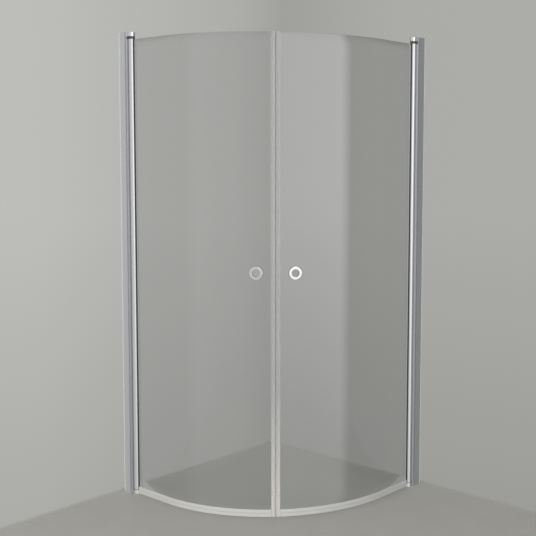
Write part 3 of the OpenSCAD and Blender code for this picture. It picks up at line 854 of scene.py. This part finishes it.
def sweep_points(side):
    """The section at each station of the path. Below the channel, out also gets a slow wave, the sum of two
    sines of s, which grows to the tip with the square of the way down."""
    s = stations((16.5 * MM, 0), (STRAIGHT, 24), (SEAM - 17.2 * MM, 96))[:, None]
    out, z = sweep_section[None, :, 0], sweep_section[None, :, 1]
    hang = np.clip((CHANNEL_LOW - z) / (CHANNEL_LOW - FIN_TIP), 0, 1) ** 2
    wave = np.sin(s / 0.047 + 0.6) + 0.6 * np.sin(s / 0.021 + 2.0)
    return along_glass(side, s, out + FIN_WAVE * hang * wave * 0.6, z)


def extruded(points):
    """Faces of a closed section carried along a path, with a flat cap at each end."""
    rows, columns = points.shape[:2]
    caps = [list(range(columns)), list(range((rows - 1) * columns, rows * columns))]
    return grid_faces(rows, columns, closed_columns=True).tolist() + caps


for side in SIDES:
    points = sweep_points(side)
    seal = make_piece(f"{side}_sweep_strip", points, extruded(points), sweep_finish)
    stand_for(seal, f"{side}_sweep_seal")

# %% [markdown]
# ## The seam seals
# Where the doors meet, each glass edge carries a strip with two legs, a web with a pocket for the magnet,
# and a round nose. The pocket is open at both ends, so the section is a ring, and a ring can't be capped by
# one face. It is drawn as one half, from the nose round to the middle of the web and back along the pocket.
# The half is carried up, and so is its mirror image. The faces between the halves are left out, and merging
# the doubles joins them.

# %% Seam seals
NOSE_R, NOSE_BACK, WEB_BACK, LEG_END = 1.6 * MM, 2.05 * MM, 6.05 * MM, 17 * MM
POCKET_HALF, POCKET_FRONT, POCKET_BACK = 1.9 * MM, 2.45 * MM, 4.45 * MM
SEAM_LOW, SEAM_HIGH = heights("left_seam_seal")

nose_angle = np.linspace(np.pi / 2, 0, 9)
nose = np.stack([NOSE_R * np.cos(nose_angle), NOSE_BACK - NOSE_R * np.sin(nose_angle)], -1)
shoulder = [
    (2.3 * MM, NOSE_BACK), (2.5 * MM, NOSE_BACK + 0.15 * MM), (SEAL_HALF - 0.1 * MM, WEB_BACK - 0.75 * MM),
    (SEAL_HALF, WEB_BACK - 0.5 * MM),
]
leg = [
    (SEAL_HALF, LEG_END - lip), (SEAL_HALF - 0.2 * MM, LEG_END - 0.15 * MM), (SEAL_HALF - lip, LEG_END),
    (GRIP + inner, LEG_END), (GRIP, LEG_END - inner),
]
web = [(GRIP, WEB_BACK + inner), (GRIP - inner, WEB_BACK), (0, WEB_BACK)]
pocket = [(0, POCKET_BACK), (POCKET_HALF, POCKET_BACK), (POCKET_HALF, POCKET_FRONT), (0, POCKET_FRONT)]
outer_half, pocket_half = np.concatenate([nose, shoulder, leg, web]), np.array(pocket)
half_section = np.concatenate([outer_half, pocket_half])


def seam_points(side, sign):
    """Half the section, or its mirror image for sign -1, at each height. Its second number is the way back
    from the seam, so the legs follow the bend."""
    z = stations((SEAM_LOW, 0), (SEAM_HIGH, 24))[:, None]
    return along_glass(side, SEAM - half_section[None, :, 1], sign * half_section[None, :, 0], z)


for side in SIDES:
    halves, faces = [], []
    columns, joins = len(half_section), (len(outer_half) - 1, len(half_section) - 1)
    for sign in (1, -1):
        points = seam_points(side, sign)
        first = sum(len(h) for h in halves)
        quads = grid_faces(len(points), columns, closed_columns=True).reshape(-1, columns, 4)
        kept = np.delete(quads, joins, axis=1).reshape(-1, 4)
        ends = np.stack([np.arange(columns), np.arange(columns) + (len(points) - 1) * columns])
        faces += (kept + first).tolist() + (ends + first).tolist()
        halves.append(points.reshape(-1, 3))
    seal = make_piece(f"{side}_seam_strip", np.concatenate(halves), faces, seal_finish)
    stand_for(seal, f"{side}_seam_seal")

# %% [markdown]
# ## The grip rings
# A pair of chrome rings clamps the glass at each hole. The outer ring has a broad round rim and a
# counterbore, and the inner ring's sleeve goes through the glass and screws into it. Both are turned parts,
# so each is a section spun round the hole's axis. The screw modifier would do it too, but as a function of
# angle and section the ring lands straight in its place on the tilted axis.

# %% Grip rings
HOLE_BORE, RING_R, RING_THICK = 14.25 * MM, 27 * MM, 7 * MM
SLEEVE_R, SLEEVE_PLAY, THREAD_DEPTH, THREAD_PLAY = 18 * MM, 0.05 * MM, 4 * MM, 0.2 * MM
OUTER_SEAT, INNER_SEAT = 3.7 * MM, 4.248 * MM
# From the seat round the rim to the bore
RIM_RADII = [0.2 * MM, 0.4 * MM, 3.5 * MM, 1.5 * MM]
ARC_STEPS, TURNS = 10, 160

counterbore_r = SLEEVE_R + SLEEVE_PLAY
ring_top = OUTER_SEAT + RING_THICK
counterbore_end = OUTER_SEAT + THREAD_DEPTH
outer_corners = [
    (counterbore_r, OUTER_SEAT), (RING_R, OUTER_SEAT), (RING_R, ring_top), (HOLE_BORE, ring_top),
    (HOLE_BORE, counterbore_end), (counterbore_r, counterbore_end),
]
outer_ring = rounded(outer_corners, RIM_RADII + [0.15 * MM, 0.15 * MM], ARC_STEPS)
ring_bottom = -INNER_SEAT - RING_THICK
sleeve_end = counterbore_end - THREAD_PLAY
inner_corners = [
    (SLEEVE_R, -INNER_SEAT), (RING_R, -INNER_SEAT), (RING_R, ring_bottom), (HOLE_BORE, ring_bottom),
    (HOLE_BORE, sleeve_end), (SLEEVE_R, sleeve_end),
]
inner_ring = rounded(inner_corners, RIM_RADII + [0.3 * MM, 0.3 * MM], ARC_STEPS)


def spun(side, section):
    """The section's first number is the distance from the hole's axis and its second the way out of the
    shower. The axis stands square on the glass at the grip, and the angle goes round it."""
    centre = along_glass(side, HOLE_S, 0, HOLE_Z)
    axis = along_glass(side, HOLE_S, 1, HOLE_Z) - centre
    level = np.cross((0, 0, 1), axis)
    angle = np.linspace(0, 2 * np.pi, TURNS, endpoint=False)[:, None, None]
    radius, height = section[None, :, :1], section[None, :, 1:]
    return centre + height * axis + radius * (np.cos(angle) * level + np.sin(angle) * np.array((0, 0, 1)))


for side in SIDES:
    for which, section in (("outer", outer_ring), ("inner", inner_ring)):
        points = spun(side, section)
        faces = grid_faces(*points.shape[:2], closed_rows=True, closed_columns=True).tolist()
        ring = make_piece(f"{side}_{which}_finger_ring", points, faces, chrome, sharp=50)
        stand_for(ring, f"{side}_grip_{which}_ring")

# %% [markdown]
# ## View settings and the last line
# The Standard view shows colours as they are written.

# %% Finish
bpy.context.scene.view_settings.view_transform = "Standard"
